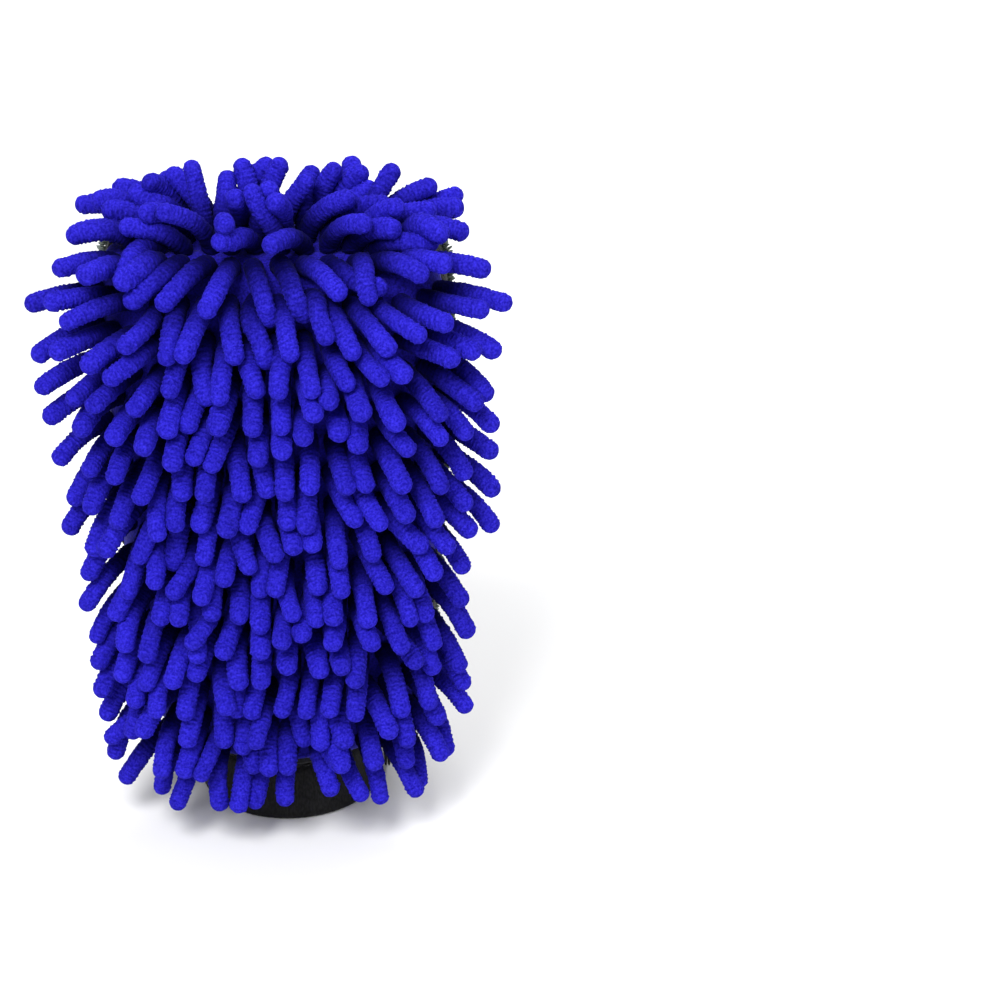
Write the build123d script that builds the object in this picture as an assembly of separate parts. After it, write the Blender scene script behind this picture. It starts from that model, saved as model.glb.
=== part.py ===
from build123d import *
import math
import os

# Wash mitt standing on its open cuff, fingers up. Millimetres.
# +X is the wearer's side with the hang loop, -Y is the chenille face, +Y the plush back,
# +Z runs from the cuff to the finger end. The origin is the centre of the cuff's mouth.

# --- driving dimensions -------------------------------------------------------------
# mitt body, outer face of its cloth
NECK_Z = 30.0            # height of the neck seam, and of the wrist hinge axis
SHOULDER_Z = 56.0        # where the shoulders have rounded into the straight sides
CROWN_Z = 205.0          # where the finger end starts to round over
TOP_Z = 229.0            # flat of the finger end
NECK_RADIUS = 39.2
SHOULDER_HALF_WIDTH = 56.5
CROWN_HALF_WIDTH = 64.0
TOP_HALF_WIDTH = 57.0
SIDE_BULGE = 1.5
SHOULDER_HALF_DEPTH = 37.5
CROWN_HALF_DEPTH = 31.5
TOP_HALF_DEPTH = 14.0
FACE_BULGE = 1.0
NECK_ROUNDNESS = 0.97    # corner radius as a share of the half depth: 1 is a full round
BODY_ROUNDNESS = 0.84

# where the outer panels are sewn together, as shares of the body's half depth
FRONT_SEAM_SHARE = -0.39
BACK_SEAM_SHARE = 0.44
LID_Z = 227.0            # underside of the chenille that wraps over the finger end

# layers, counted inwards from the outer cloth face
CLOTH = 2.0
GUSSET_THICKNESS = 2.4
PLUSH_PILE = 5.0         # pile standing outside the cloth face
FOAM_OUTER = 2.6
FOAM_INNER = 8.6
FOAM_LOW_Z = 54.0
FOAM_HIGH_Z = 200.0
LINING_INSET = 9.0
LINING_THICKNESS = 0.8
NECK_CLEARANCE = 36.6    # nothing of the body comes nearer to the wrist hinge centre

# chenille noodles
NOODLE_DIAMETER = 7.4
NOODLE_LENGTH = 31.0
NOODLE_ROOT = 3.0        # straight length before the bend
NOODLE_BEND_RADIUS = 9.0
NOODLE_SUNK = 0.6        # how far a noodle is tufted into the ground cloth
ROWS = 20
COLUMN_PITCH = 8.7
FIRST_ROW_Z = 37.5
PARTING_Y = -22.5        # where the highest hanging row crosses the middle of the crown
LAST_ROW_Y = 9.6
EDGE_MARGIN = 5.4        # from the last noodle of a row to the seam
HANGING_BEND = 46        # degrees a noodle droops from the cloth's normal
SIDE_STIFFENING = 8      # how much less the noodles near the seams droop
LOWEST_BENDS = {1: 62, 2: 48}    # nothing grows under the lowest rows, so they hang more
SIDEWAYS_LEAN = 0.75
UPRIGHT_ROWS = 4         # rows above the parting, on the finger end
UPRIGHT_FAN = 0.85       # slope of the first and last of those rows, forwards and backwards
UPRIGHT_SPLAY = 1.0      # slope of their outermost noodles, sideways
BEND_STEP = 2            # bends are rounded to this, so that equal noodles share one shape

# cuff
CUFF_TOP_Z = 42.0
CUFF_WAIST_Z = 26.0
CUFF_MOUTH_RADIUS = 36.0
CUFF_WAIST_RADIUS = 31.5
CUFF_BORE_RADIUS = 29.0
CUFF_HEM_Z = 6.0         # straight hem round the mouth, outside
CUFF_HEM_BORE_Z = 8.0    # and inside
CUFF_FLARE_Z = 16.0
CUFF_MOUTH_BORE = 32.6
POCKET_INNER = 29.8
POCKET_OUTER = 30.7
POCKET_FLOOR_Z = 20.0
BAND_CLEARANCE = 0.05

# hang loop: a webbing strip folded double, hinged on the cuff's side seam
LOOP_AXIS_X = 37.9
LOOP_LOW_Z = 2.5
LOOP_WIDTH = 8.5
LOOP_LENGTH = 42.0
WEBBING = 1.1
LOOP_EYE = 5.4           # clear gap between the two plies at the loop's end
LOOP_SEWN = 12.0         # length over which the two plies are sewn together

# thread
THREAD_RADIUS = 0.35
STITCH_LENGTH = 3.0
STITCH_PITCH = 5.0
HEM_STITCHES = 42
HEM_Z = 22.0

# angles at which sections are drawn where the body rounds over
ROUNDING_ANGLES = (28, 52, 72)
CROWN_ANGLES = (25, 45)
STRAIGHT_SECTIONS = 5

os.makedirs("parts", exist_ok=True)


def save(shape, node):
    """Write one node's solids to its own STEP file."""
    solids = shape.solids()
    export_step(solids[0] if len(solids) == 1 else Compound(children=solids), f"parts/{node}.step")


# --- the body's outer surface -------------------------------------------------------
def half_sizes(z):
    """Half width, half depth and corner radius of the body's section at height z."""
    if z < SHOULDER_Z:
        sine = (SHOULDER_Z - z) / (SHOULDER_Z - NECK_Z)
        cosine = math.sqrt(max(0.0, 1 - sine * sine))
        half_width = NECK_RADIUS + (SHOULDER_HALF_WIDTH - NECK_RADIUS) * cosine
        half_depth = NECK_RADIUS + (SHOULDER_HALF_DEPTH - NECK_RADIUS) * cosine
        roundness = NECK_ROUNDNESS + (BODY_ROUNDNESS - NECK_ROUNDNESS) * cosine
        return half_width, half_depth, half_depth * roundness
    if z <= CROWN_Z:
        rise = (z - SHOULDER_Z) / (CROWN_Z - SHOULDER_Z)
        swell = math.sin(math.pi * rise)
        half_width = SHOULDER_HALF_WIDTH + (CROWN_HALF_WIDTH - SHOULDER_HALF_WIDTH) * rise
        half_depth = SHOULDER_HALF_DEPTH + (CROWN_HALF_DEPTH - SHOULDER_HALF_DEPTH) * rise
        half_depth += FACE_BULGE * swell
        return half_width + SIDE_BULGE * swell, half_depth, half_depth * BODY_ROUNDNESS
    sine = min(1.0, (z - CROWN_Z) / (TOP_Z - CROWN_Z))
    cosine = math.sqrt(max(0.0, 1 - sine * sine))
    half_depth = TOP_HALF_DEPTH + (CROWN_HALF_DEPTH - TOP_HALF_DEPTH) * cosine
    half_width = TOP_HALF_WIDTH + (CROWN_HALF_WIDTH - TOP_HALF_WIDTH) * cosine
    return half_width, half_depth, half_depth * BODY_ROUNDNESS


def station_heights():
    """Heights at which the body's sections are drawn, closer together where it rounds."""
    shoulder = [SHOULDER_Z - (SHOULDER_Z - NECK_Z) * math.sin(math.radians(t)) for t in ROUNDING_ANGLES]
    rise = (CROWN_Z - SHOULDER_Z) / (STRAIGHT_SECTIONS - 1)
    straight = [SHOULDER_Z + rise * k for k in range(STRAIGHT_SECTIONS)]
    crown = [CROWN_Z + (TOP_Z - CROWN_Z) * math.sin(math.radians(t)) for t in CROWN_ANGLES]
    return [NECK_Z] + sorted(shoulder) + straight + crown + [LID_Z]


def corner_arc(centre, radius, start, end):
    """Arc between two angles, in degrees from +X, round a corner's centre."""
    points = []
    for angle in (start, (start + end) / 2, end):
        turn = math.radians(angle)
        points.append((centre[0] + radius * math.cos(turn), centre[1] + radius * math.sin(turn)))
    return points


def panel_half_outline(z, inset, share):
    """Outline of the body's section from the middle of a face to the seam at its right."""
    half_width, half_depth, corner = half_sizes(z)
    sign = -1 if share < 0 else 1
    centre = (half_width - corner, half_depth - corner)
    radius = corner - inset
    seam = abs(share) * half_depth
    end = math.degrees(math.asin((seam - centre[1]) / radius))
    arc = corner_arc(centre, radius, 90, end)
    return [(x, sign * y) for x, y in arc]


def closed_face(z, outer, inner):
    """Face between an outer and an inner outline, each given as a list of its edges' points."""
    def edges(outline):
        return [Line(*ends).edge() if len(ends) == 2 else ThreePointArc(*ends).edge() for ends in outline]

    loop = edges(outer) + edges(inner)
    loop.append(Line(outer[0][0], inner[0][0]).edge())
    loop.append(Line(outer[-1][-1], inner[-1][-1]).edge())
    return Pos(0, 0, z) * make_face(Wire(loop))


def face_section(z, outer_inset, inner_inset, share):
    """Section of a front (share below 0) or back panel, from its left seam to its right."""
    outlines = []
    for inset in (outer_inset, inner_inset):
        right = panel_half_outline(z, inset, share)
        left = [(-x, y) for x, y in reversed(right)]
        outlines.append([left, [left[-1], right[0]], right])
    return closed_face(z, *outlines)


def gusset_section(z, outer_inset, inner_inset, side):
    """Section of a side panel, from its front seam to its back seam."""
    outlines = []
    for inset in (outer_inset, inner_inset):
        half_width, half_depth, corner = half_sizes(z)
        front = list(reversed(panel_half_outline(z, inset, FRONT_SEAM_SHARE)))
        back = list(reversed(panel_half_outline(z, inset, BACK_SEAM_SHARE)))
        radius = corner - inset
        turns = []
        for sign, points in ((-1, front), (1, back)):
            centre = (half_width - corner, half_depth - corner)
            start = math.degrees(math.acos(min(1.0, (points[0][0] - centre[0]) / radius)))
            turns.append([(side * x, sign * y) for x, y in corner_arc(centre, radius, start, 0)])
        turns[1].reverse()
        outlines.append([turns[0], [turns[0][-1], turns[1][0]], turns[1]])
    return closed_face(z, *outlines)


# --- outer panels ---------------------------------------------------------------------
def whole_section(z):
    """The body's whole section at height z."""
    half_width, half_depth, corner = half_sizes(z)
    return Pos(0, 0, z) * RectangleRounded(2 * half_width, 2 * half_depth, corner)


def chenille_ground():
    """Knitted ground of the chenille face, which also wraps over the finger end."""
    face = loft([face_section(z, 0, CLOTH, FRONT_SEAM_SHARE) for z in station_heights()])
    lid = loft([whole_section(z) for z in (LID_Z, TOP_Z)])
    return face + lid


def plush_panel():
    """Plush back with its pile, from the neck up to the finger end."""
    return loft([face_section(z, -PLUSH_PILE, CLOTH, BACK_SEAM_SHARE) for z in station_heights()])


def side_gusset(side):
    """Air-mesh strip between the two faces, on the side +1 or -1."""
    return loft([gusset_section(z, 0, GUSSET_THICKNESS, side) for z in station_heights()])


# --- inside ---------------------------------------------------------------------------
def foam_pad(share):
    """Foam sheet behind the chenille face or the plush back."""
    heights = (FOAM_LOW_Z, (FOAM_LOW_Z + FOAM_HIGH_Z) / 2, FOAM_HIGH_Z)
    return loft([face_section(z, FOAM_OUTER, FOAM_INNER, share) for z in heights])


def lining_block(inset, top):
    """Closed shape of the lining's outside, or of its inside where the inset is larger."""
    sections = []
    for z in (FOAM_LOW_Z, top):
        half_width, half_depth, corner = half_sizes(min(z, FOAM_HIGH_Z))
        ring = RectangleRounded(2 * (half_width - inset), 2 * (half_depth - inset), corner - inset)
        sections.append(Pos(0, 0, z) * ring)
    return loft(sections, ruled=True)


def lining_bag():
    """Waterproof inner bag round the hand, closed at the finger end."""
    top = CROWN_Z
    outside = lining_block(LINING_INSET, top)
    inside = lining_block(LINING_INSET + LINING_THICKNESS, top - LINING_THICKNESS)
    return outside - inside


# --- cuff -----------------------------------------------------------------------------
def turned(points, start=0.0, sweep=360.0):
    """Solid turned about Z from a closed outline of (radius, height) points."""
    outline = make_face(Polyline([(r, 0, z) for r, z in points], close=True))
    return Rot(0, 0, start) * revolve(outline, Axis.Z, sweep)


def cuff_outer_radius(z):
    """Radius of the cuff's outside at height z."""
    flare = min(1.0, max(0.0, (CUFF_WAIST_Z - z) / (CUFF_WAIST_Z - CUFF_HEM_Z)))
    return CUFF_WAIST_RADIUS + (CUFF_MOUTH_RADIUS - CUFF_WAIST_RADIUS) * flare


def cuff_sleeve():
    """Stretch fabric folded double at the mouth, with an open pocket for the elastic."""
    return turned([
        (CUFF_MOUTH_BORE, 0),
        (CUFF_MOUTH_RADIUS, 0),
        (CUFF_MOUTH_RADIUS, CUFF_HEM_Z),
        (CUFF_WAIST_RADIUS, CUFF_WAIST_Z),
        (CUFF_WAIST_RADIUS, CUFF_TOP_Z),
        (POCKET_OUTER, CUFF_TOP_Z),
        (POCKET_OUTER, POCKET_FLOOR_Z),
        (POCKET_INNER, POCKET_FLOOR_Z),
        (POCKET_INNER, CUFF_TOP_Z),
        (CUFF_BORE_RADIUS, CUFF_TOP_Z),
        (CUFF_BORE_RADIUS, CUFF_FLARE_Z),
        (CUFF_MOUTH_BORE, CUFF_HEM_BORE_Z),
    ])


def cuff_elastic_band():
    """Elastic strip in the cuff's pocket."""
    inner, outer = POCKET_INNER + BAND_CLEARANCE, POCKET_OUTER - BAND_CLEARANCE
    low, high = POCKET_FLOOR_Z + BAND_CLEARANCE, CUFF_TOP_Z - 1
    return turned([(inner, low), (outer, low), (outer, high), (inner, high)])


def cuff_hem_stitching():
    """One ring of thread stitches that closes the pocket's lower edge."""
    ring = cuff_outer_radius(HEM_Z) + THREAD_RADIUS + 0.05
    step = 360 / HEM_STITCHES
    section = Plane((ring, 0, HEM_Z), x_dir=(1, 0, 0), z_dir=(0, -1, 0)) * Circle(THREAD_RADIUS)
    stitch = revolve(section, Axis.Z, step * STITCH_LENGTH / STITCH_PITCH)
    return Compound(children=[Rot(0, 0, k * step) * stitch for k in range(HEM_STITCHES)])


def neck_gather():
    """Gathered cloth ring that joins the body's neck to the cuff and flexes with the wrist."""
    inner = CUFF_WAIST_RADIUS + 0.4
    outer = NECK_CLEARANCE - 0.1
    low = CUFF_WAIST_Z + 1
    return turned([
        (inner, low),
        (inner + 1.2, low),
        (outer, NECK_Z + 0.2),
        (outer, NECK_Z + 2.2),
        (inner, NECK_Z + 0.6),
    ])


# --- hang loop ------------------------------------------------------------------------
def hang_loop_strap():
    """Webbing folded into a flat loop that points to +Y, with its sewn end on the hinge."""
    ply_gap = 0.2
    bulge_start = LOOP_SEWN + 6
    end_radius = LOOP_EYE / 2 + WEBBING
    end_centre = LOOP_LENGTH - end_radius
    sewn_half = ply_gap / 2 + WEBBING
    with BuildSketch() as outline:
        with BuildLine():
            Polyline((-sewn_half, 0), (-sewn_half, LOOP_SEWN), (-end_radius, bulge_start),
                     (-end_radius, end_centre))
            ThreePointArc((-end_radius, end_centre), (0, LOOP_LENGTH), (end_radius, end_centre))
            Polyline((end_radius, end_centre), (end_radius, bulge_start), (sewn_half, LOOP_SEWN),
                     (sewn_half, 0))
            ThreePointArc((sewn_half, 0), (0, -sewn_half), (-sewn_half, 0))
        make_face()
        with BuildLine():
            half = LOOP_EYE / 2
            Polyline((-half, bulge_start), (-half, end_centre))
            ThreePointArc((-half, end_centre), (0, end_centre + half), (half, end_centre))
            Polyline((half, end_centre), (half, bulge_start), (0, LOOP_SEWN + 1), (-half, bulge_start))
        make_face(mode=Mode.SUBTRACT)
    strap = extrude(outline.sketch, amount=LOOP_WIDTH)
    return Pos(LOOP_AXIS_X, 0, LOOP_LOW_Z) * strap


def hang_loop_bartack():
    """Close zigzag of thread across the strap's sewn end, on both faces."""
    half = 0.1 + WEBBING + THREAD_RADIUS
    stitches = []
    for face in (-1, 1):
        for k in range(5):
            place = Pos(LOOP_AXIS_X + face * half, 5 + 1.3 * k, LOOP_LOW_Z + LOOP_WIDTH / 2)
            stitches.append(place * Cylinder(THREAD_RADIUS, LOOP_WIDTH - 2))
    return Compound(children=stitches)


# --- chenille noodles -----------------------------------------------------------------
def surface_normal(x, y, z):
    """Outward unit normal of the body's surface at a point of it."""
    if z >= TOP_Z - 0.01:
        return Vector(0, 0, 1)
    step = 0.05

    def outside(px, py, pz):
        half_width, half_depth, corner = half_sizes(pz)
        over_x = max(abs(px) - (half_width - corner), 0.0)
        over_y = max(abs(py) - (half_depth - corner), 0.0)
        if over_x > 0 and over_y > 0:
            return math.hypot(over_x, over_y) - corner
        return max(abs(px) - half_width, abs(py) - half_depth)

    return Vector(
        outside(x + step, y, z) - outside(x - step, y, z),
        outside(x, y + step, z) - outside(x, y - step, z),
        outside(x, y, z + step) - outside(x, y, z - step),
    ).normalized()


def ring_at_arc(z, reach):
    """Point at a signed distance round the section at height z, from the face's middle."""
    half_width, half_depth, corner = half_sizes(z)
    flat, turn = half_width - corner, corner * math.pi / 2
    side, walked = 2 * (half_depth - corner), abs(reach)
    if walked < flat:
        x, y = walked, -half_depth
    elif walked < flat + turn:
        angle = (walked - flat) / corner
        x, y = flat + corner * math.sin(angle), corner - half_depth - corner * math.cos(angle)
    elif walked < flat + turn + side:
        x, y = half_width, corner - half_depth + walked - flat - turn
    else:
        angle = (walked - flat - turn - side) / corner
        x, y = flat + corner * math.cos(angle), half_depth - corner + corner * math.sin(angle)
    return math.copysign(x, reach), y


def row_line(row):
    """(y, z) where a row crosses the middle of the face, or of the finger end."""
    hanging = ROWS - UPRIGHT_ROWS
    path = []
    z = FIRST_ROW_Z
    while z < TOP_Z and -half_sizes(z)[1] < PARTING_Y:
        path.append((-half_sizes(z)[1], z))
        z += 0.25
    if row > hanging:
        first = -TOP_HALF_DEPTH
        return first + (LAST_ROW_Y - first) * (row - hanging - 1) / (UPRIGHT_ROWS - 1), TOP_Z
    lengths = [0.0]
    for before, after in zip(path, path[1:]):
        lengths.append(lengths[-1] + math.dist(before, after))
    target = lengths[-1] * (row - 1) / (hanging - 1)
    for k in range(1, len(path)):
        if lengths[k] >= target - 1e-9:
            share = (target - lengths[k - 1]) / (lengths[k] - lengths[k - 1])
            low, high = path[k - 1], path[k]
            return low[0] + (high[0] - low[0]) * share, low[1] + (high[1] - low[1]) * share


def row_roots(row):
    """Where the noodles of one row leave the ground cloth."""
    y, z = row_line(row)
    seam_y = FRONT_SEAM_SHARE * half_sizes(z)[1]
    roots = []
    for column in range(-8, 9):
        reach = (column + 0.5) * COLUMN_PITCH
        if z >= TOP_Z - 0.01:
            if abs(reach) < TOP_HALF_WIDTH - EDGE_MARGIN:
                roots.append((reach, y, z))
            continue
        point = ring_at_arc(z, reach)
        beyond = ring_at_arc(z, reach + math.copysign(EDGE_MARGIN, reach))
        if beyond[1] < seam_y:
            roots.append((point[0], point[1], z))
    return roots


def noodle_lean(row, x, normal):
    """Which way a noodle bends from its root, and by how many degrees."""
    outward = x / CROWN_HALF_WIDTH
    if row > ROWS - UPRIGHT_ROWS:
        # on the finger end the noodles stand up and fan out, sideways and from front to back
        share = (row - ROWS + UPRIGHT_ROWS - 1) / (UPRIGHT_ROWS - 1)
        target = Vector(UPRIGHT_SPLAY * outward, UPRIGHT_FAN * (2 * share - 1), 0)
        angle = math.degrees(math.atan(target.length))
    else:
        target = Vector(SIDEWAYS_LEAN * outward, 0, -1)
        angle = LOWEST_BENDS.get(row, HANGING_BEND - SIDE_STIFFENING * min(1.0, abs(outward)))
    along = target - normal * target.dot(normal)
    return along.normalized(), BEND_STEP * round(angle / BEND_STEP)


def noodle_template(angle, cache={}):
    """A noodle with its root at the origin, leaving along +Z and bending towards +X."""
    if angle not in cache:
        turn = math.radians(angle)
        bend = NOODLE_BEND_RADIUS
        tail = NOODLE_LENGTH - NOODLE_ROOT - bend * turn - NOODLE_DIAMETER / 2
        start, knee = Vector(0, 0, -NOODLE_SUNK), Vector(0, 0, NOODLE_ROOT)
        middle = Vector(bend * (1 - math.cos(turn / 2)), 0, NOODLE_ROOT + bend * math.sin(turn / 2))
        after = Vector(bend * (1 - math.cos(turn)), 0, NOODLE_ROOT + bend * math.sin(turn))
        tip = after + Vector(math.sin(turn), 0, math.cos(turn)) * tail
        route = Wire([
            Line(start, knee).edge(),
            ThreePointArc(knee, middle, after).edge(),
            Line(after, tip).edge(),
        ])
        tube = sweep(Plane.XY.offset(-NOODLE_SUNK) * Circle(NOODLE_DIAMETER / 2), path=route)
        cache[angle] = tube + Pos(tip) * Sphere(NOODLE_DIAMETER / 2)
    return cache[angle]


def chenille_row(row):
    """All noodles of one tufted row, as separate solids."""
    noodles = []
    for x, y, z in row_roots(row):
        normal = surface_normal(x, y, z)
        along, angle = noodle_lean(row, x, normal)
        place = Plane(origin=(x, y, z), x_dir=along, z_dir=normal)
        noodles.append(place.location * noodle_template(angle))
    return Compound(children=noodles)


# --- seams ----------------------------------------------------------------------------
def stitch_along(points, outward):
    """Short thread stitches laid end to end along a line of surface points."""
    stitches = []
    for before, after, normal in zip(points, points[1:], outward):
        direction = Vector(after) - Vector(before)
        lift = normal * (THREAD_RADIUS + 0.1)
        place = Plane(origin=Vector(before) + lift, z_dir=direction)
        stitches.append(place * Cylinder(THREAD_RADIUS, STITCH_LENGTH, align=(Align.CENTER, Align.CENTER, Align.MIN)))
    return stitches


def side_seam_stitching(share):
    """Two lines of stitches, one up each side, where a face meets the gussets."""
    stitches = []
    for side in (-1, 1):
        points, normals = [], []
        z = SHOULDER_Z
        while z < CROWN_Z:
            half_width, half_depth, corner = half_sizes(z)
            y = share * half_depth
            over = max(abs(y) - (half_depth - corner), 0.0)
            x = side * (half_width - corner + math.sqrt(corner * corner - over * over))
            points.append((x, y, z))
            normals.append(surface_normal(x, y, z))
            z += STITCH_PITCH
        stitches += stitch_along(points, normals)
    return Compound(children=stitches)


def top_seam_stitching():
    """Stitches across the finger end, along the back edge of the chenille wrap."""
    y = LAST_ROW_Y + NOODLE_DIAMETER / 2 + 1
    reach = TOP_HALF_WIDTH * 0.8
    count = int(2 * reach / STITCH_PITCH)
    points = [(-reach + STITCH_PITCH * k, y, TOP_Z) for k in range(count + 1)]
    return Compound(children=stitch_along(points, [Vector(0, 0, 1)] * len(points)))


# --- write every node -----------------------------------------------------------------
save(cuff_sleeve(), "cuff_sleeve")
save(cuff_elastic_band(), "cuff_elastic_band")
save(cuff_hem_stitching(), "cuff_hem_stitching")
save(neck_gather(), "neck_gather")
save(chenille_ground(), "chenille_ground")
save(plush_panel(), "plush_panel")
save(side_gusset(-1), "side_gusset_left")
save(side_gusset(1), "side_gusset_right")
save(foam_pad(FRONT_SEAM_SHARE), "front_foam_pad")
save(foam_pad(BACK_SEAM_SHARE), "back_foam_pad")
save(lining_bag(), "lining_bag")
for row_number in range(1, ROWS + 1):
    save(chenille_row(row_number), f"chenille_row_{row_number:02d}")
save(side_seam_stitching(FRONT_SEAM_SHARE - 0.03), "front_seam_stitching")
save(side_seam_stitching(BACK_SEAM_SHARE - 0.05), "back_seam_stitching")
save(top_seam_stitching(), "top_seam_stitching")
save(hang_loop_strap(), "hang_loop_strap")
save(hang_loop_bartack(), "hang_loop_bartack")
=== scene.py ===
import math

import bpy
import numpy as np
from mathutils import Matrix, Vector


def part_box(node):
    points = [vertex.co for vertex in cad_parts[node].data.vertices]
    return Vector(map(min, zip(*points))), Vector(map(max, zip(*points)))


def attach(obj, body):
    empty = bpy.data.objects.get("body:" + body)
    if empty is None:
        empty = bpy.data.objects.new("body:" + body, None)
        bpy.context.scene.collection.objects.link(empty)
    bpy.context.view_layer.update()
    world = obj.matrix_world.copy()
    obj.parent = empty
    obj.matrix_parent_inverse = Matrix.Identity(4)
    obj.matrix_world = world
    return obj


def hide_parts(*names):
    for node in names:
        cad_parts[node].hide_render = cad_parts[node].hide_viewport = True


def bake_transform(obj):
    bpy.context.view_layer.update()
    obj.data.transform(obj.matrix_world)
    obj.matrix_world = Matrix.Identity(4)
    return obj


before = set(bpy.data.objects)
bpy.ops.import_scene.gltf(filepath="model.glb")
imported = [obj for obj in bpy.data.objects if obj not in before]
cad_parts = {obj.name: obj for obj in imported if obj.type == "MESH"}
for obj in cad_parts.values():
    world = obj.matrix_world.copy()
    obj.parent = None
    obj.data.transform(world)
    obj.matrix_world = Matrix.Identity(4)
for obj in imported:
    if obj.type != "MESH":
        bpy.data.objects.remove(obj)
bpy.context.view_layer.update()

# Everything is in metres, in the frame of the CAD: +Z up, -Y out of the chenille face.
rng = np.random.default_rng(20)

# --- body, as in the CAD --------------------------------------------------------------
ground_low, ground_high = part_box("chenille_ground")
_, sleeve_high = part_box("cuff_sleeve")
_, lining_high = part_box("lining_bag")
foam_low, foam_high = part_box("front_foam_pad")
strap_low, strap_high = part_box("hang_loop_strap")
band_low, band_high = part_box("cuff_elastic_band")

NECK_Z = ground_low.z
TOP_Z = ground_high.z
SHOULDER_Z = NECK_Z + 0.026
CROWN_Z = TOP_Z - 0.024
NECK_RADIUS = -ground_low.y
SHOULDER_HALF_WIDTH = 0.0565
CROWN_HALF_WIDTH = 0.064
TOP_HALF_WIDTH = 0.057
SIDE_BULGE = 0.0015
SHOULDER_HALF_DEPTH = 0.0375
CROWN_HALF_DEPTH = 0.0315
TOP_HALF_DEPTH = 0.014
FACE_BULGE = 0.001
NECK_ROUNDNESS = 0.97
BODY_ROUNDNESS = 0.84
FRONT_SEAM_SHARE = -0.39
BACK_SEAM_SHARE = 0.44

# --- cuff -----------------------------------------------------------------------------
CUFF_MOUTH_RADIUS = sleeve_high.x
CUFF_TOP_Z = sleeve_high.z
CUFF_WAIST_RADIUS = 0.0315
CUFF_WAIST_Z = 0.026
CUFF_HEM_Z = 0.006
CUFF_BORE = 0.029
CUFF_MOUTH_BORE = 0.0326
CUFF_FLARE_Z = 0.016
GATHERS = 26
HEM_STITCHES = 42
HEM_STITCH_Z = 0.022

# --- chenille -------------------------------------------------------------------------
ROWS = sum(name.startswith("chenille_row_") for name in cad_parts)
UPRIGHT_ROWS = 4
COLUMN_PITCH = 0.0087
FIRST_ROW_Z = 0.0375
PARTING_Y = -0.0225
LAST_ROW_Y = 0.0096
EDGE_MARGIN = 0.0054
NOODLE_RADIUS = 0.0036
NOODLE_LENGTH = 0.0300
NOODLE_NODES = 10
TIP_STATIONS = 7
LOWEST_NOODLE_Z = 0.0135
NOODLE_SIDES = 18
NOODLE_STATIONS = 70
PILE_RING_PITCH = (0.0015, 0.0018)  # shortest and longest
SETTLE_STEPS, QUICK_SETTLE_STEPS = 170, 40
WHORLS = (                          # x, z, size and strength of noodles brushed straight out
    (0.022, 0.184, 0.015, 1.6),
    (-0.050, 0.182, 0.014, 1.3),
    (0.014, 0.098, 0.013, 0.9),
)

# --- plush, mesh, lining, neck, thread ------------------------------------------------
PILE = 0.0026            # plush pile under the tufts
TUFT_PITCH = 0.00145
TUFT_LENGTH = 0.0034
MESH_PITCH = 0.0022      # of the gussets' diamond dimples
MESH_DEPTH = 0.0007
CLOTH = 0.0018           # thickness of the outer panels
SEAM_MARGIN = 0.003      # of the foam, from the seams
LINING_INSET = 0.0093
LINING_THICKNESS = 0.0007
LINING_NECK_RADIUS = 0.0306
NECK_CLOTH_LOW = 0.0235
NECK_CLOTH_HIGH = 0.0313
NECK_CLOTH_RADIUS = 0.0324
NECK_CLOTH_TOP_RADIUS = 0.0386
ELASTIC_RADIUS = 0.0305
ELASTIC_BORE = 0.0300
THREAD_RADIUS = 0.00035
STITCH_LENGTH = 0.0031
STITCH_PITCH = 0.005


# --- body surface ---------------------------------------------------------------------
def half_sizes(z):
    """Half width, half depth and corner radius of the body's section at heights z."""
    z = np.asarray(z, float)
    shoulder = np.clip((SHOULDER_Z - z) / (SHOULDER_Z - NECK_Z), 0, 1)
    rise = np.clip((z - SHOULDER_Z) / (CROWN_Z - SHOULDER_Z), 0, 1)
    crown = np.clip((z - CROWN_Z) / (TOP_Z - CROWN_Z), 0, 1)
    round_low = np.sqrt(1 - shoulder ** 2)
    round_high = np.sqrt(1 - crown ** 2)
    swell = np.sin(math.pi * rise)
    width = SHOULDER_HALF_WIDTH + (CROWN_HALF_WIDTH - SHOULDER_HALF_WIDTH) * rise + SIDE_BULGE * swell
    depth = SHOULDER_HALF_DEPTH + (CROWN_HALF_DEPTH - SHOULDER_HALF_DEPTH) * rise + FACE_BULGE * swell
    width = NECK_RADIUS + (width - NECK_RADIUS) * round_low
    depth = NECK_RADIUS + (depth - NECK_RADIUS) * round_low
    width = TOP_HALF_WIDTH + (width - TOP_HALF_WIDTH) * round_high
    depth = TOP_HALF_DEPTH + (depth - TOP_HALF_DEPTH) * round_high
    roundness = NECK_ROUNDNESS + (BODY_ROUNDNESS - NECK_ROUNDNESS) * round_low
    return width, depth, depth * roundness


def ring_point(z, reach, inset=0.0):
    """Points at signed distances round the sections at heights z, from the face's middle."""
    width, depth, corner = half_sizes(z)
    walked = np.abs(reach)
    flat, turn, side = width - corner, corner * math.pi / 2, 2 * (depth - corner)
    first = np.clip((walked - flat) / corner, 0, math.pi / 2)
    along = np.clip(walked - flat - turn, 0, side)
    second = np.clip((walked - flat - turn - side) / corner, 0, math.pi / 2)
    last = np.clip(walked - 2 * turn - side - flat, 0, flat)
    radius = corner - inset
    x = np.minimum(walked, flat) + radius * np.sin(first) - radius * (1 - np.cos(second)) - last
    y = -(depth - corner) - radius * np.cos(first) + along + radius * np.sin(second)
    return np.stack(np.broadcast_arrays(np.copysign(x, reach), y, z), -1)


def ring_half_length(z):
    """Distance round half a section, from the middle of the face to the middle of the back."""
    width, depth, corner = half_sizes(z)
    return 2 * (width - corner) + math.pi * corner + 2 * (depth - corner)


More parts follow.
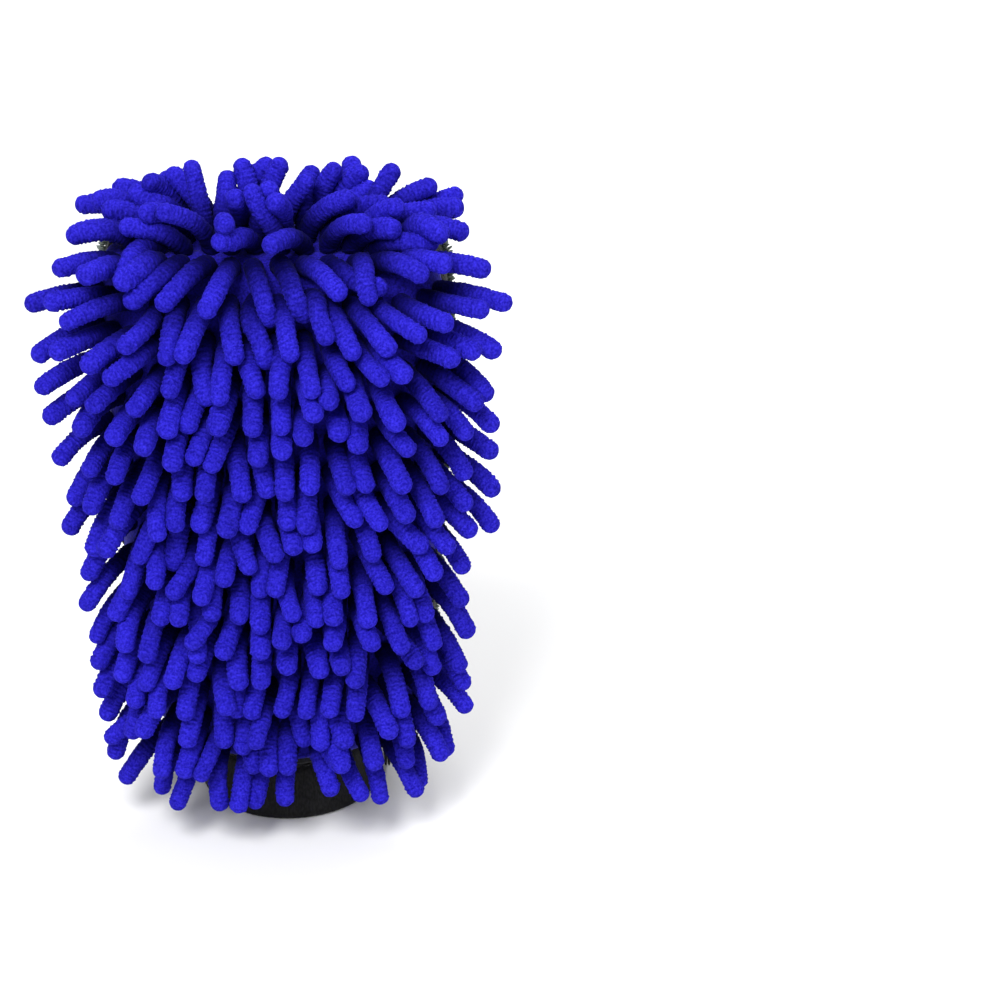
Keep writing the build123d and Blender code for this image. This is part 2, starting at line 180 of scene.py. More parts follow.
def seam_reach(z, share):
    """Distance round the section from the face's middle to a seam at a share of the half depth."""
    width, depth, corner = half_sizes(z)
    turned = np.arccos(np.clip((abs(share) * depth - (depth - corner)) / corner, -1, 1))
    if share < 0:
        return width - corner + corner * turned
    return ring_half_length(z) - (width - corner) - corner * turned


def outside(points):
    """Signed distance outside the body's section, level by level."""
    width, depth, corner = half_sizes(np.clip(points[..., 2], NECK_Z, TOP_Z))
    over_x = np.abs(points[..., 0]) - (width - corner)
    over_y = np.abs(points[..., 1]) - (depth - corner)
    beyond = np.hypot(np.maximum(over_x, 0), np.maximum(over_y, 0))
    return beyond + np.minimum(np.maximum(over_x, over_y), 0) - corner


def surface_normals(points):
    """Outward unit normals of the body's surface at points on it."""
    step = 0.00005
    slopes = []
    for axis in range(3):
        shift = np.zeros(3)
        shift[axis] = step
        slopes.append(outside(points + shift) - outside(points - shift))
    normals = np.stack(slopes, -1)
    normals[points[..., 2] >= TOP_Z - 0.00001] = (0, 0, 1)
    return unit(normals)


def even_heights(count, low, high):
    """Heights from low to high, at even steps along the cloth."""
    turn = np.linspace(0, math.pi / 2, 60)
    z = np.concatenate([
        SHOULDER_Z - (SHOULDER_Z - NECK_Z) * np.sin(turn[::-1]),
        np.linspace(SHOULDER_Z, CROWN_Z, 60)[1:-1],
        CROWN_Z + (TOP_Z - CROWN_Z) * np.sin(turn),
    ])
    walked = np.concatenate([[0], np.cumsum(np.hypot(np.diff(z), np.diff(half_sizes(z)[1])))])
    ends = np.interp((low, high), z, walked)
    return np.interp(np.linspace(*ends, count), walked, z)


def unit(vectors):
    return vectors / np.maximum(np.linalg.norm(vectors, axis=-1, keepdims=True), 1e-12)


def eased(share):
    """Shares clipped to 0 to 1 and eased at both ends."""
    share = np.clip(share, 0, 1)
    return share * share * (3 - 2 * share)


def ripple(points, size, seed):
    """Smooth pseudo-random value near -1 to 1 at each point, with bumps of about this size."""
    local = np.random.default_rng(seed)
    total = np.zeros(points.shape[:-1])
    for _ in range(7):
        wave = unit(local.normal(size=3)) * (2 * math.pi / size) * local.uniform(0.35, 0.75)
        total += np.sin(points @ wave + local.uniform(0, 2 * math.pi))
    return total / 3.2


# --- mesh helpers ---------------------------------------------------------------------
def new_object(name, vertices, faces, material, shade_and_tone=None):
    """Smooth mesh object from an array of vertices and a list of arrays of triangles or quads."""
    mesh = bpy.data.meshes.new(name)
    corners = np.concatenate([np.asarray(f).ravel() for f in faces]).astype(np.int32)
    sizes = np.concatenate([np.full(len(f), np.shape(f)[1]) for f in faces])
    starts = np.concatenate([[0], np.cumsum(sizes)[:-1]]).astype(np.int32)
    mesh.vertices.add(len(vertices))
    mesh.vertices.foreach_set("co", np.asarray(vertices, np.float32).ravel())
    mesh.loops.add(len(corners))
    mesh.loops.foreach_set("vertex_index", corners)
    mesh.polygons.add(len(sizes))
    mesh.polygons.foreach_set("loop_start", starts)
    mesh.polygons.foreach_set("use_smooth", np.ones(len(sizes), bool))
    mesh.update(calc_edges=True)
    # optional value per vertex, stored as a mesh attribute: painted shade with a random tone
    if shade_and_tone is not None:
        layer = mesh.attributes.new("shade_and_tone", "FLOAT", "POINT")
        layer.data.foreach_set("value", np.asarray(shade_and_tone, np.float32).ravel())
    mesh.materials.append(material)
    piece = bpy.data.objects.new(name, mesh)
    bpy.context.scene.collection.objects.link(piece)
    return piece


def grid_faces(rows, columns, start=0, wrap=False):
    """Quads of a grid of rows by columns vertices, numbered row by row."""
    r, c = np.meshgrid(np.arange(rows - 1), np.arange(columns if wrap else columns - 1), indexing="ij")
    after = (c + 1) % columns
    quads = [r * columns + c, r * columns + after, (r + 1) * columns + after, (r + 1) * columns + c]
    return np.stack(quads, -1).reshape(-1, 4) + start


def closed_sheet(name, outer, inner, material, wrap=False, shade_and_tone=None):
    """Closed thin solid between two grids of points; outer's rows by columns face outwards."""
    rows, columns = outer.shape[:2]
    offset = rows * columns
    index = np.arange(offset).reshape(rows, columns)
    faces = [grid_faces(rows, columns, 0, wrap), grid_faces(rows, columns, offset, wrap)[:, ::-1]]
    rims = [(index[0], True), (index[-1], False)]
    if not wrap:
        rims += [(index[:, 0], False), (index[:, -1], True)]
    for line, reverse in rims:
        ends = np.append(line, line[0]) if wrap else line
        strip = np.stack([ends[:-1], ends[1:], ends[1:] + offset, ends[:-1] + offset], -1)
        faces.append(strip[:, ::-1] if reverse else strip)
    vertices = np.concatenate([outer.reshape(-1, 3), inner.reshape(-1, 3)])
    return new_object(name, vertices, faces, material, shade_and_tone)


def tube(line, radii, around):
    """Vertices and faces of a closed tube along a line, with a radius at each of its points."""
    heading = unit(np.gradient(line, axis=0))
    side = np.zeros_like(line)
    side[0] = unit(np.cross(heading[0], (0.31, 0.17, 0.93)))
    for k in range(1, len(line)):
        side[k] = unit(side[k - 1] - heading[k] * (side[k - 1] @ heading[k]))
    other = np.cross(heading, side)
    angle = np.linspace(0, 2 * math.pi, around, endpoint=False)
    spokes = side[:, None] * np.cos(angle)[None, :, None] + other[:, None] * np.sin(angle)[None, :, None]
    size = np.asarray(radii, float)
    if size.ndim == 1:
        size = size[:, None]
    rings = line[:, None] + spokes * (size * np.ones((1, around)))[..., None]
    count = len(line) * around
    vertices = np.concatenate([rings.reshape(-1, 3), line[:1], line[-1:]])
    ring = np.arange(around)
    after = (ring + 1) % around
    low = np.stack([after, ring, np.full(around, count)], -1)
    high = np.stack([ring + count - around, after + count - around, np.full(around, count + 1)], -1)
    return vertices, grid_faces(len(line), around, 0, wrap=True), np.concatenate([low, high])


def many(name, parts, material, shades_and_tones=None):
    """One object from many closed tubes."""
    vertices, quads, triangles, used = [], [], [], 0
    for points, grid, caps in parts:
        vertices.append(points)
        quads.append(grid + used)
        triangles.append(caps + used)
        used += len(points)
    return new_object(name, np.concatenate(vertices), [np.concatenate(quads), np.concatenate(triangles)],
                      material, shades_and_tones)


def place(piece, body, slot_name, *nodes):
    """Parents a piece to the empty of the body it rides, if it has one, and hides the CAD nodes it stands
    for; slot_name, for what it is made of, is not used.
    """
    if body:
        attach(piece, body)
    if nodes:
        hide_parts(*nodes)
    return piece


# --- chenille noodles -----------------------------------------------------------------
def row_line(row):
    """(y, z) where a row crosses the middle of the face, or of the finger end."""
    hanging = ROWS - UPRIGHT_ROWS
    if row > hanging:
        share = (row - hanging - 1) / (UPRIGHT_ROWS - 1)
        return -TOP_HALF_DEPTH + (LAST_ROW_Y + TOP_HALF_DEPTH) * share, TOP_Z
    z = np.arange(FIRST_ROW_Z, TOP_Z, 0.00025)
    y = -half_sizes(z)[1]
    z, y = z[y < PARTING_Y], y[y < PARTING_Y]
    walked = np.concatenate([[0], np.cumsum(np.hypot(np.diff(y), np.diff(z)))])
    target = walked[-1] * (row - 1) / (hanging - 1)
    return np.interp(target, walked, y), np.interp(target, walked, z)


def row_roots(row):
    """Where the noodles of one row leave the ground cloth."""
    y, z = row_line(row)
    reach = (np.arange(-9, 9) + 0.5) * COLUMN_PITCH
    if row > ROWS - UPRIGHT_ROWS:
        reach = reach[np.abs(reach) < TOP_HALF_WIDTH - EDGE_MARGIN]
        return np.stack([reach, np.full_like(reach, y), np.full_like(reach, z)], -1)
    beyond = ring_point(z, reach + np.copysign(EDGE_MARGIN, reach))
    return ring_point(z, reach[beyond[:, 1] < FRONT_SEAM_SHARE * half_sizes(z)[1]])


def noodle_ends(roots, rows):
    """Which way each noodle's free end points, before it meets its neighbours."""
    count = len(roots)
    outward = roots[:, 0] / CROWN_HALF_WIDTH
    height = roots[:, 2]
    high = np.clip((height - NECK_Z) / (TOP_Z - NECK_Z), 0, 1) ** 4
    wobble = rng.normal(0, 1, (count, 3))
    # hanging rows fall down and away from the middle, much more so near the finger end
    sideways = np.sign(outward) * np.abs(outward) ** (1.15 - 0.35 * high) * (0.62 + 1.0 * high)
    comb = ripple(roots, 0.075, 3)
    forward = -0.46 - 0.18 * ripple(roots, 0.06, 8)
    down = np.stack([sideways + 0.12 * comb + 0.05, forward, -np.ones(count)], -1)
    down += wobble * (0.25, 0.19, 0.15)
    # at the finger end's corners they stand out to the side
    corner = np.clip((height - 0.188) / 0.020, 0, 1) * np.clip((np.abs(outward) - 0.45) / 0.30, 0, 1)
    down[:, 2] += 0.80 * corner
    for x, z, size, push in WHORLS:
        near = np.exp(-((roots[:, 0] - x) ** 2 + (height - z) ** 2) / (2 * size ** 2))
        down[:, 1] -= push * near
        down[:, 2] += 0.6 * near
    # the lowest ones on the right hang a little higher
    low_right = np.clip((0.060 - height) / 0.020, 0, 1) * np.clip(outward, 0, 1)
    down[:, 0] += 0.35 * low_right
    down[:, 2] += 0.45 * low_right
    # the finger end's rows stand up, splay to both sides and flop over one another
    step = rows - (ROWS - UPRIGHT_ROWS) - 1
    fan = np.interp(step, (0, 1, 2, 3), (-0.85, -0.35, 0.05, 0.40))
    rise = np.interp(step, (0, 1, 2, 3), (0.05, 0.36, 0.45, 0.30))
    splay = np.sign(outward) * np.abs(outward) ** 0.75 * 1.6
    up = np.stack([splay, fan, rise - 2.2 * np.clip(np.abs(outward) - 0.42, 0, 1)], -1)
    up += wobble * (0.50, 0.40, 0.16)
    return unit(np.where((step >= 0)[:, None], up, down))


def bent_lines(roots, normals, ends):
    """Centre lines that leave along the normal and curve over to the end direction."""
    share = np.linspace(0, 1, NOODLE_NODES)
    turn = eased((share - 0.04) / 0.62)
    headings = normals[:, None] * (1 - turn)[None, :, None] + ends[:, None] * turn[None, :, None]
    sway = rng.normal(0, 1, (len(roots), 1, 3)) * 0.30
    headings = unit(unit(headings) + sway * (share[None, :, None] - 0.55))
    step_length = NOODLE_LENGTH * rng.uniform(0.90, 1.05, (len(roots), 1)) / (NOODLE_NODES - 1)
    lines = np.zeros((len(roots), NOODLE_NODES, 3))
    lines[:, 0] = roots
    for k in range(1, NOODLE_NODES):
        lines[:, k] = lines[:, k - 1] + headings[:, k - 1] * step_length
    return lines


def keep_off_body(lines):
    """Moves nodes out of the body, the cuff and the floor."""
    part = lines[:, 2:]
    deep = NOODLE_RADIUS - outside(part)
    buried = (deep > 0) & (part[..., 2] > NECK_Z) & (part[..., 2] < TOP_Z)
    part[buried] += surface_normals(part[buried]) * deep[buried][:, None]
    low_over_top = (part[..., 2] >= TOP_Z) & (part[..., 2] < TOP_Z + NOODLE_RADIUS) & (outside(part) < 0)
    part[low_over_top, 2] = TOP_Z + NOODLE_RADIUS
    radius = np.hypot(part[..., 0], part[..., 1])
    clear = CUFF_MOUTH_RADIUS + NOODLE_RADIUS + 0.001
    at_cuff = (part[..., 2] <= NECK_Z) & (radius < clear)
    part[at_cuff, :2] *= (clear / np.maximum(radius[at_cuff], 1e-6))[:, None]
    part[..., 2] = np.maximum(part[..., 2], LOWEST_NOODLE_Z + NOODLE_RADIUS)
    lines[:, 2:] = part


def settle(targets, steps):
    """Pushes noodles that cross apart while each keeps its length and most of its set."""
    lines = targets.copy()
    count, nodes = lines.shape[:2]
    step_length = np.linalg.norm(targets[:, 1] - targets[:, 0], axis=-1)[:, None]
    owner = np.repeat(np.arange(count), nodes)
    place_on = np.tile(np.arange(nodes), count)
    gap = 2 * NOODLE_RADIUS * 0.96
    root = lines[:, :2].copy()
    for step in range(steps):
        flat = lines.reshape(-1, 3)
        if step % 8 == 0:
            square = (flat ** 2).sum(1)
            near = square[:, None] + square[None, :] - 2 * flat @ flat.T < (gap * 1.6) ** 2
            first, second = np.nonzero(np.triu(near, 1))
            kept = (owner[first] != owner[second]) & (place_on[first] + place_on[second] > 2)
            first, second = first[kept], second[kept]
        apart = flat[first] - flat[second]
        distance = np.linalg.norm(apart, axis=1)
        close = distance < gap
        push = apart[close] * ((gap - distance[close]) / np.maximum(distance[close], 1e-6) * 0.35)[:, None]
        moved = np.zeros_like(flat)
        np.add.at(moved, first[close], push)
        np.add.at(moved, second[close], -push)
        lines = lines + moved.reshape(lines.shape)
        lines += 0.02 * (targets - lines)
        straight = 0.5 * (lines[:, :-2] + lines[:, 2:])
        lines[:, 1:-1] += 0.25 * (straight - lines[:, 1:-1])
        keep_off_body(lines)
        lines[:, :2] = root
        for k in range(2, nodes):
            lines[:, k] = lines[:, k - 1] + step_length * unit(lines[:, k] - lines[:, k - 1])
    return lines


def smooth_line(points, count):
    """Points of a Catmull-Rom curve through a few points."""
    padded = np.concatenate([[2 * points[0] - points[1]], points, [2 * points[-1] - points[-2]]])
    t = np.linspace(0, len(points) - 1 - 1e-6, count)
    k = t.astype(int)
    u = (t - k)[:, None]
    p0, p1, p2, p3 = padded[k], padded[k + 1], padded[k + 2], padded[k + 3]
    bend = (2 * p0 - 5 * p1 + 4 * p2 - p3) * u ** 2 + (3 * p1 - p0 - 3 * p2 + p3) * u ** 3
    return 0.5 * (2 * p1 + (p2 - p0) * u + bend)


def noodle(points, around, along):
    """One noodle: rings of clumped pile round its core, a round tip, and how lit each part is."""
    line = smooth_line(points, 40)
    walked = np.concatenate([[0], np.cumsum(np.linalg.norm(np.diff(line, axis=0), axis=1))])
    radius = NOODLE_RADIUS * (1 + rng.normal(0, 0.04))
    length = walked[-1]
    tip = np.sin(np.linspace(0, math.pi / 2, TIP_STATIONS + 1)[1:])
    tip[-1] = 0.995
    stations = np.concatenate([np.linspace(0, length - radius, along), length - radius + radius * tip])
    profile = np.concatenate([np.ones(along), np.sqrt(1 - tip ** 2)])
    profile[:4] = (0.55, 0.78, 0.92, 0.98)
    centre = np.stack([np.interp(stations, walked, line[:, k]) for k in range(3)], -1)
    heading = unit(centre[along - 1] - centre[along - 3])
    centre[along:] = centre[along - 1] + heading * (radius * tip)[:, None]
    angle = np.linspace(0, 2 * math.pi, around, endpoint=False)[None, :]
    run = stations[:, None]
    phase, pitch = rng.uniform(0, 6.28), rng.uniform(*PILE_RING_PITCH)
    wander = 1.1 * np.sin(angle + run / 0.004 + phase)
    rings = np.sin(run / pitch * 2 * math.pi + angle * rng.choice((-1, 1)) + wander)
    lumps = 0.030 * np.sin(run / 0.0065 * 2 + phase * 2) * np.cos(2 * angle + phase)
    clumps = rng.normal(0, 0.056, (len(stations), around))
    clumps = 0.6 * clumps + 0.2 * (np.roll(clumps, 1, 1) + np.roll(clumps, 1, 0))
    size = radius * profile[:, None] * (1 + 0.030 * rings + lumps + clumps)
    # painted shade: darker towards the root and in the hollows between the pile's rings and clumps, plus a
    # random tone for each noodle
    lit = eased((run / length - 0.12) / 0.68)
    lit = lit * (0.80 + 0.07 * rings + 2.4 * clumps) + rng.normal(0, 0.06)
    return tube(centre, size, around), np.concatenate([lit.ravel(), lit[0, :1], lit[-1, :1]])


def make_chenille(material):
    """Every noodle of every row, settled together, as one piece for each row."""
    roots = [row_roots(row) for row in range(1, ROWS + 1)]
    rows = np.concatenate([np.full(len(r), k + 1) for k, r in enumerate(roots)])
    roots = np.concatenate(roots)
    normals = surface_normals(roots)
    targets = bent_lines(roots - normals * 0.0004, normals, noodle_ends(roots, rows))
    lines = settle(targets, SETTLE_STEPS)
    pieces = []
    for row in range(1, ROWS + 1):
        noodles = [noodle(points, NOODLE_SIDES, NOODLE_STATIONS) for points in lines[rows == row]]
        parts, shades = zip(*noodles)
        piece = many(f"noodles_row_{row:02d}", parts, material, np.concatenate(shades))
        pieces.append(place(piece, "mitt", "blue_chenille", f"chenille_row_{row:02d}"))
    return pieces


# --- outer cloth ----------------------------------------------------------------------
def make_ground(material):
    """Blue knitted ground: up the face from the neck, then over the finger end to the back."""
    columns = 130
    share = np.linspace(-1, 1, columns)
    z = even_heights(150, NECK_Z, TOP_Z)
    reach = seam_reach(z, FRONT_SEAM_SHARE)[:, None] * share
    rows = []
    for inset in (0.0002, CLOTH):
        face = ring_point(z[:, None], reach, inset)
        front = face[-1]
        back_reach = seam_reach(TOP_Z, BACK_SEAM_SHARE)
        half = ring_half_length(TOP_Z)
        back_edge = np.copysign(half - np.abs(share) * (half - back_reach), share)
        back = ring_point(TOP_Z, back_edge, inset)
        over = np.linspace(0, 1, 30)[1:, None, None]
        lid = front[None] * (1 - over) + back[None] * over
        lid[..., 2] -= inset
        puff = np.sin(math.pi * over[:, 0, 0])[:, None] * (1 - share ** 2)[None, :]
        lid[..., 2] += 0.0022 * puff
        rows.append(np.concatenate([face, lid]))
    outer, inner = rows
    # a slight quilting between the noodles
    outer = outer + unit(outer - inner) * 0.0003 * ripple(outer, 0.012, 5)[..., None]
    piece = closed_sheet("ground_cloth", outer, inner, material)
    place(piece, "mitt", "blue_ground_knit", "chenille_ground")
    return piece


def back_grid(rows, columns, low, high):
    """Grid over the plush back, from one side seam round to the other, with its normals."""
    z = even_heights(rows, low, high)
    share = np.linspace(1, -1, columns)
    half = ring_half_length(z)[:, None]
    seam = seam_reach(z, BACK_SEAM_SHARE)[:, None]
    reach = half - (half - seam) * np.abs(share)
    points = ring_point(z[:, None], np.copysign(reach, share))
    return points, surface_normals(np.minimum(points, (9, 9, TOP_Z - 0.0003))), share


def make_plush(material):
    """Plush back: one thick sheet of pile with clumped tufts all over it."""
    points, normals, share = back_grid(185, 122, NECK_Z, TOP_Z - 0.002)
    edge = np.clip((1 - np.abs(share)) / 0.05, 0, 1)[None, :]
    rise = np.linspace(0, 1, len(points))[:, None]
    ends = np.clip(rise / 0.02, 0, 1) * np.clip((1 - rise) / 0.02, 0, 1)
    round_off = np.sqrt(edge * (2 - edge)) * np.sqrt(ends * (2 - ends))
    dents = 0.0009 * ripple(points, 0.045, 11) + 0.0004 * ripple(points, 0.014, 12)
    clumps = 0.00035 * ripple(points, 0.0035, 13) + rng.normal(0, 0.00012, points.shape[:2])
    lift = (0.0002 + (PILE + dents + clumps) * round_off)[..., None]
    # painted shade: the pile's colour darker where its clumps sink and lighter where they stand up
    shade_and_tone = np.tile(0.22 + clumps * 300, (2, 1, 1))
    piece = closed_sheet("plush_back", points + normals * lift, points - normals * CLOTH, material, shade_and_tone=shade_and_tone)
    place(piece, "mitt", "grey_plush", "plush_panel")
    tufts = make_tufts(material)
    return piece


def make_tufts(material):
    """Thousands of small bent locks of pile, in three bands up the back."""
    bands, pieces = 3, []
    sides, rings = 4, 3
    angle = np.linspace(0, 2 * math.pi, sides, endpoint=False)
    grid = grid_faces(rings, sides, 0, wrap=True)
    ring = np.arange(sides)
    after = (ring + 1) % sides
    top, tip, root = (rings - 1) * sides, rings * sides, rings * sides + 1
    tip_cap = np.stack([ring + top, after + top, np.full(sides, tip)], -1)
    root_cap = np.stack([after, ring, np.full(sides, root)], -1)
    heights = np.linspace(NECK_Z + 0.001, TOP_Z - 0.001, bands + 1)
    for band in range(bands):
        rows = int((heights[band + 1] - heights[band]) / TUFT_PITCH) + (9 if band == 2 else 3)
        points, normals, _ = back_grid(rows, 92, heights[band], heights[band + 1] - 0.0004)
        points = points.reshape(-1, 3)
        normals = normals.reshape(-1, 3)
        points = points + rng.normal(0, 0.00038, points.shape)
        points[:, 2] = np.clip(points[:, 2], NECK_Z + 0.0003, TOP_Z)
        count = len(points)
        # the pile leans in patches, mostly downwards
        lean = np.stack([ripple(points, 0.05, 21), 0.3 * ripple(points, 0.05, 22),
                         ripple(points, 0.04, 23) - 0.35], -1)
        lean = unit(normals + 0.55 * lean + rng.normal(0, 0.34, points.shape))
        across = unit(np.cross(lean, rng.normal(0, 1, points.shape)))
        other = np.cross(lean, across)
        dents = 0.0009 * ripple(points, 0.045, 11)
        base = points + normals * (PILE * 0.55 + dents)[:, None]
        length = TUFT_LENGTH * rng.uniform(0.62, 1.0, count)
        width = rng.uniform(0.0006, 0.0009, count)
        droop = across * rng.uniform(0.1, 0.5, count)[:, None]
        vertices = np.zeros((count, rings * sides + 2, 3))
        for k, (rise, wide) in enumerate(((0.0, 0.8), (0.45, 1.0), (0.8, 0.66))):
            centre = base + (lean * rise + droop * rise ** 2) * length[:, None]
            spokes = across[:, None] * np.cos(angle)[:, None] + other[:, None] * np.sin(angle)[:, None]
            vertices[:, k * sides:(k + 1) * sides] = centre[:, None] + spokes * (width * wide)[:, None, None]
        vertices[:, -2] = base + lean * length[:, None] + droop * length[:, None]
        vertices[:, -1] = base - lean * 0.0004
        each = rings * sides + 2
        start = (np.arange(count) * each)[:, None, None]
        quads = (grid[None] + start).reshape(-1, 4)
        caps = (np.concatenate([tip_cap, root_cap])[None] + start).reshape(-1, 3)
        # painted shade: each tuft darker towards its root and lighter at its tip, with a random tone for each
        # tuft
        shades_and_tones = np.tile(np.concatenate([np.repeat((0.1, 0.55, 0.9), sides), (1.0, 0.0)]), (count, 1))
        shades_and_tones = shades_and_tones * 0.6 + rng.normal(0.16, 0.12, count)[:, None]
        piece = new_object(f"plush_tufts_{band + 1}", vertices.reshape(-1, 3), [quads, caps], material, shades_and_tones)
        pieces.append(place(piece, "mitt", "grey_plush"))
    return pieces


def make_gusset(side, material):
    """Black spacer mesh between the two faces, dimpled all over in small diamonds."""
    name = "right" if side > 0 else "left"
    z = even_heights(350, NECK_Z, TOP_Z - 0.002)
    front, back = seam_reach(z, FRONT_SEAM_SHARE), seam_reach(z, BACK_SEAM_SHARE)
    share = np.linspace(0, 1, 58)
    reach = front[:, None] + (back - front)[:, None] * share[None, :]
    points = ring_point(z[:, None], side * reach, 0.0002)
    inner = ring_point(z[:, None], side * reach, 0.0022)
    normals = unit(points - inner)
    across = (reach - front[:, None]) * 2 * math.pi / MESH_PITCH
    up = np.linspace(0, 1, len(z))[:, None] * 0.215 * 2 * math.pi / MESH_PITCH
    diamonds = np.cos(across) * np.cos(up)
    slack = 0.0007 * ripple(points, 0.05, 31) * np.sin(math.pi * share)[None, :]
    dimple = -MESH_DEPTH * np.clip(diamonds + 0.15, 0, 1)
    points = points + normals * (dimple + slack)[..., None]
    if side < 0:
        points, inner = points[:, ::-1], inner[:, ::-1]
    piece = closed_sheet(f"mesh_gusset_{name}", points, inner, material)
    place(piece, "mitt", "air_mesh", f"side_gusset_{name}")
    return piece


# --- inside ---------------------------------------------------------------------------
def make_foam(name, share, node, material):
    """Sponge sheet behind a face, thinner towards its edges."""
    z = np.linspace(foam_low.z, foam_high.z, 90)
    line = np.linspace(-1, 1, 70)
    edge = 1 - np.abs(line) ** 8
    ends = 1 - np.abs(np.linspace(-1, 1, len(z))) ** 10
    middle, half = 0.0056, 0.0009 + 0.0019 * edge[None, :] * ends[:, None]
    seam = seam_reach(z, share)[:, None]
    if share < 0:
        reach = (seam - SEAM_MARGIN) * line
    else:
        whole = ring_half_length(z)[:, None]
        reach = np.copysign(whole - (whole - (seam + SEAM_MARGIN)) * np.abs(line), -line)
    centre = ring_point(z[:, None], reach, middle)
    normals = unit(ring_point(z[:, None], reach, 0.0) - ring_point(z[:, None], reach, 0.004))
    cells = rng.normal(0, 0.00008, centre.shape[:2])
    piece = closed_sheet(name, centre + normals * (half + cells)[..., None],
                         centre - normals * (half - cells)[..., None], material)
    place(piece, "mitt", "foam", node)
    return piece


def make_lining(material):
    """Coated inner bag, from the cuff's top up round the hand, closed at the finger end."""
    columns = 120
    bottom = CUFF_TOP_Z + 0.0008
    crown = lining_high.z
    around = np.linspace(0, 2 * math.pi, columns, endpoint=False)
    levels = np.concatenate([np.linspace(bottom, 0.070, 22), np.linspace(0.073, crown - 0.008, 70)])
    grids = []
    for thick in (0.0, LINING_THICKNESS):
        rows = []
        for z in levels:
            half = ring_half_length(min(z, foam_high.z))
            ring = ring_point(min(max(z, SHOULDER_Z), foam_high.z), half * (around / math.pi - 1) * 0.9999)
            full = ring[:, :2] * (1 - (LINING_INSET + thick) / np.linalg.norm(ring[:, :2], axis=1))[:, None]
            ease = eased((z - bottom) / 0.024)
            direction = np.arctan2(full[:, 1], full[:, 0])
            neck = np.stack([np.cos(direction), np.sin(direction)], -1) * (LINING_NECK_RADIUS - thick)
            flat = neck * (1 - ease) + full * ease
            rows.append(np.column_stack([flat, np.full(columns, z)]))
        for shrink, rise in ((0.985, 0.0035), (0.93, 0.006), (0.8, 0.0075), (0.5, 0.008), (0.02, 0.0082)):
            last = rows[len(levels) - 1]
            rows.append(np.column_stack([last[:, :2] * shrink, last[:, 2] + rise - thick]))
        grids.append(np.array(rows))
    outer, inner = grids
    folds = 0.0011 * ripple(outer, 0.03, 41) + 0.0005 * ripple(outer, 0.011, 42)
    inward = unit(np.concatenate([-outer[..., :2], np.zeros_like(outer[..., :1])], -1))
    weight = np.clip((levels - bottom) / 0.01, 0, 1)
    weight = np.concatenate([weight, np.zeros(5)])[:, None]
    shift = inward * (np.abs(folds) * weight)[..., None]
    piece = closed_sheet("lining_cloth", outer + shift, inner + shift, material, wrap=True)
    place(piece, None, "lining", "lining_bag")
    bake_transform(piece)
    return piece


# --- cuff -----------------------------------------------------------------------------
def cuff_outer_radius(z):
    """Radius of the cuff's outside at heights z, with a soft fold at the hem."""
    flare = np.clip((CUFF_WAIST_Z - z) / (CUFF_WAIST_Z - CUFF_HEM_Z), 0, 1)
    radius = CUFF_WAIST_RADIUS + (CUFF_MOUTH_RADIUS - CUFF_WAIST_RADIUS) * flare
    return radius - 0.0012 * np.exp(-((z - HEM_STITCH_Z) / 0.0012) ** 2)


def gathers(z, around):
    """How far the cuff's cloth stands in or out in its gathers."""
    strength = np.interp(z, (0.0, 0.006, 0.019, 0.026, CUFF_TOP_Z), (0.0, 0.10, 0.45, 0.6, 0.3)) * 0.001
    wave = np.sin(GATHERS * around) + 0.6 * np.sin(17 * around + 1.3) + 0.4 * np.sin(9 * around + 0.4)
    return strength * wave * 0.5


def revolved(radii, heights, around, wave=True):
    """Grid of points turned about Z."""
    radius = radii[:, None] + (gathers(heights[:, None], around[None, :]) if wave else 0)
    return np.stack([radius * np.cos(around), radius * np.sin(around),
                     np.repeat(heights[:, None], len(around), 1)], -1)


def make_cuff(material):
    """Stretch knit folded double at the mouth, gathered by the elastic above."""
    around = np.linspace(0, 2 * math.pi, 288, endpoint=False)
    z = np.linspace(0.0007, CUFF_TOP_Z, 62)
    outer_radius = cuff_outer_radius(z)
    outer_radius[0] -= 0.0004
    inner_radius = np.interp(z, (0.0, 0.008, CUFF_FLARE_Z, CUFF_TOP_Z),
                             (CUFF_MOUTH_BORE, CUFF_MOUTH_BORE, CUFF_BORE, CUFF_BORE))
    ribs = 0.00007 * np.cos(96 * around)[None, :, None]
    outer = revolved(outer_radius, z, around)
    outer = outer + ribs * unit(outer * (1, 1, 0))
    mouth = revolved(np.array([(CUFF_MOUTH_RADIUS + CUFF_MOUTH_BORE) / 2]), np.array([0.0]), around, False)
    inner = revolved(inner_radius, z, around)
    inner[0, :, 2] = 0.0007
    top_outer = revolved(np.array([0.0309]), np.array([CUFF_TOP_Z]), around)
    # one skin: inside the cuff, round the folded mouth, up the outside and over the top
    skin = np.concatenate([inner[::-1], mouth, outer, top_outer])
    faces = [grid_faces(len(skin), len(around), 0, wrap=True)]
    last = (len(skin) - 1) * len(around)
    ring = np.arange(len(around))
    after = (ring + 1) % len(around)
    faces.append(np.stack([last + ring, last + after, after, ring], -1))
    piece = new_object("cuff_knit", skin.reshape(-1, 3), faces, material)
    place(piece, "cuff", "cuff_knit", "cuff_sleeve")
    return piece


